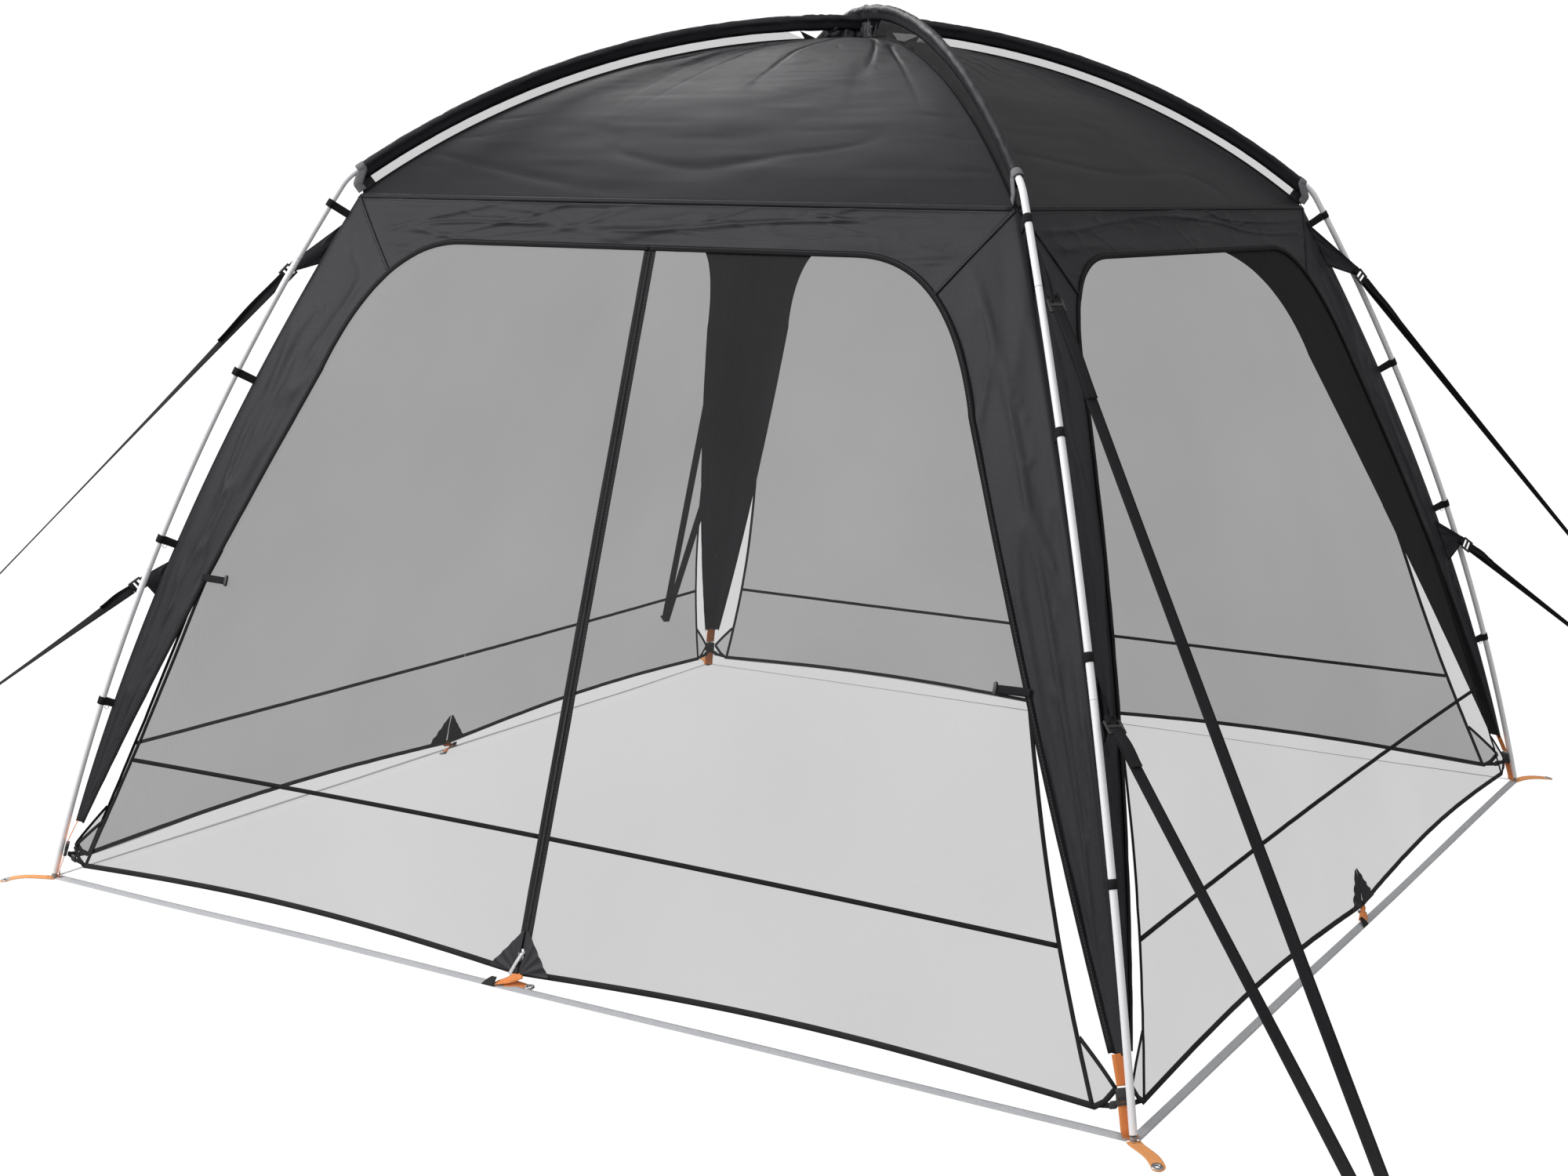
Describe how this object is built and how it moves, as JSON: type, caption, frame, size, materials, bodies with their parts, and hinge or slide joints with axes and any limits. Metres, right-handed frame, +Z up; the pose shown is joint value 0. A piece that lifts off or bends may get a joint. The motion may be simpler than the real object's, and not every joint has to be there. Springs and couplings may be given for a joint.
{
  "type": "screen house",
  "caption": "Square dome-roofed screen house on crossed bowed poles, with insect-mesh walls, a zipped door wall, ground straps, pegging tabs and guy straps.",
  "frame": {"origin": "centre of the footprint on the ground", "axes": "+Z up, the door wall faces -Y, +X to the right of someone facing the door from outside"},
  "size_m": [4.3881, 4.2078, 2.2505],
  "materials": {
    "leg_tube": "satin white powder coat on steel tube",
    "roof_tube": "satin grey powder coat",
    "grey_plastic": "moulded matte plastic",
    "grey_webbing": "woven polyester webbing",
    "light_webbing": "woven polyester webbing",
    "canopy_cloth": "coated polyester ripstop, slight sheen",
    "vent_mesh": "open black mesh, see-through",
    "dark_mesh": "fine insect mesh, see-through",
    "zip_tape": "woven tape with a coil zip",
    "zip_metal": "die-cast, satin",
    "white_webbing": "narrow woven tape",
    "orange_webbing": "woven polyester webbing",
    "black_plastic": "moulded acetal",
    "black_webbing": "woven polyester webbing"
  },
  "bodies": {
    "canopy": {"roof_pole_over": "roof_tube", "roof_pole_under": "roof_tube", "roof_ferrules": "roof_tube", "pole_elbows": "leg_tube", "upper_leg_fr": "leg_tube", "upper_leg_br": "leg_tube", "upper_leg_bl": "leg_tube", "upper_leg_fl": "leg_tube", "lower_leg_fr": "leg_tube", "lower_leg_br": "leg_tube", "lower_leg_bl": "leg_tube", "lower_leg_fl": "leg_tube", "foot_plugs": "grey_plastic", "sleeve_over": "canopy_cloth", "sleeve_under": "canopy_cloth", "sleeve_end_straps": "grey_webbing", "roof_panel_front": "canopy_cloth", "roof_panel_right": "canopy_cloth", "roof_panel_back": "canopy_cloth", "roof_panel_left": "canopy_cloth", "vent_strips": "vent_mesh", "valances": "canopy_cloth", "leg_fabric_fr": "canopy_cloth", "leg_fabric_br": "canopy_cloth", "leg_fabric_bl": "canopy_cloth", "leg_fabric_fl": "canopy_cloth", "mesh_wall_right": "dark_mesh", "mesh_wall_back": "dark_mesh", "mesh_wall_left": "dark_mesh", "door_mesh_left": "dark_mesh", "door_mesh_right": "dark_mesh", "door_trim_left": "black_webbing", "door_trim_right": "black_webbing", "wall_trim": "black_webbing", "hem_loops": "orange_webbing", "ground_straps": "light_webbing", "foot_straps": "orange_webbing", "foot_buckles": "black_plastic", "pole_clips": "black_webbing", "guy_tabs": "black_webbing", "guy_buckles": "black_plastic", "guy_upper_fr": "black_webbing", "guy_upper_br": "black_webbing", "guy_upper_bl": "black_webbing", "guy_upper_fl": "black_webbing", "guy_lower_fr": "black_webbing", "guy_lower_br": "black_webbing", "guy_lower_bl": "black_webbing", "guy_lower_fl": "black_webbing"},
    "left_door": {"door_zip_left": "zip_tape"},
    "right_door": {"door_zip_right": "zip_tape"},
    "zip_slider_body": {"zip_slider": "zip_metal"},
    "zip_pull_body": {"zip_pull": "white_webbing"},
    "peg_fr": {"peg_tab_fr": "orange_webbing"},
    "peg_br": {"peg_tab_br": "orange_webbing"},
    "peg_bl": {"peg_tab_bl": "orange_webbing"},
    "peg_fl": {"peg_tab_fl": "orange_webbing"},
    "left_tie": {"tie_back_left": "black_webbing"},
    "right_tie": {"tie_back_right": "black_webbing"}
  },
  "joints": [
    {"name": "left_door_swing", "type": "hinge", "parent": "canopy", "child": "left_door", "pos_m": [0, -0.96552, 1.61568], "axis": [0, 0.9514, -0.3079], "range_deg": [0, 45], "deforming": ["door_mesh_left", "door_trim_left"]},
    {"name": "right_door_swing", "type": "hinge", "parent": "canopy", "child": "right_door", "pos_m": [0, -0.96552, 1.61568], "axis": [0, -0.9514, 0.3079], "range_deg": [0, 45], "deforming": ["door_mesh_right", "door_trim_right"]},
    {"name": "zip_slide", "type": "slide", "parent": "right_door", "child": "zip_slider_body", "axis": [0, 0.3079, 0.9514], "range_m": [0, 1.6]},
    {"name": "zip_pull_flip", "type": "hinge", "parent": "zip_slider_body", "child": "zip_pull_body", "pos_m": [0, -1.46919, 0.07566], "axis": [-1, 0, 0], "range_deg": [0, 120]},
    {"name": "peg_tab_lift_fr", "type": "hinge", "parent": "canopy", "child": "peg_fr", "pos_m": [1.50707, -1.50707, 0.002], "axis": [-0.7071, -0.7071, 0], "range_deg": [0, 90]},
    {"name": "peg_tab_lift_br", "type": "hinge", "parent": "canopy", "child": "peg_br", "pos_m": [1.50707, 1.50707, 0.002], "axis": [0.7071, -0.7071, 0], "range_deg": [0, 90]},
    {"name": "peg_tab_lift_bl", "type": "hinge", "parent": "canopy", "child": "peg_bl", "pos_m": [-1.50707, 1.50707, 0.002], "axis": [0.7071, 0.7071, 0], "range_deg": [0, 90]},
    {"name": "peg_tab_lift_fl", "type": "hinge", "parent": "canopy", "child": "peg_fl", "pos_m": [-1.50707, -1.50707, 0.002], "axis": [-0.7071, 0.7071, 0], "range_deg": [0, 90]},
    {"name": "left_tie_swing", "type": "hinge", "parent": "canopy", "child": "left_tie", "pos_m": [-1.14532, -1.23884, 0.78169], "axis": [0, -0.3079, -0.9514], "range_deg": [0, 70]},
    {"name": "right_tie_swing", "type": "hinge", "parent": "canopy", "child": "right_tie", "pos_m": [1.14532, -1.23884, 0.78169], "axis": [0, 0.3079, 0.9514], "range_deg": [0, 70]}
  ]
}
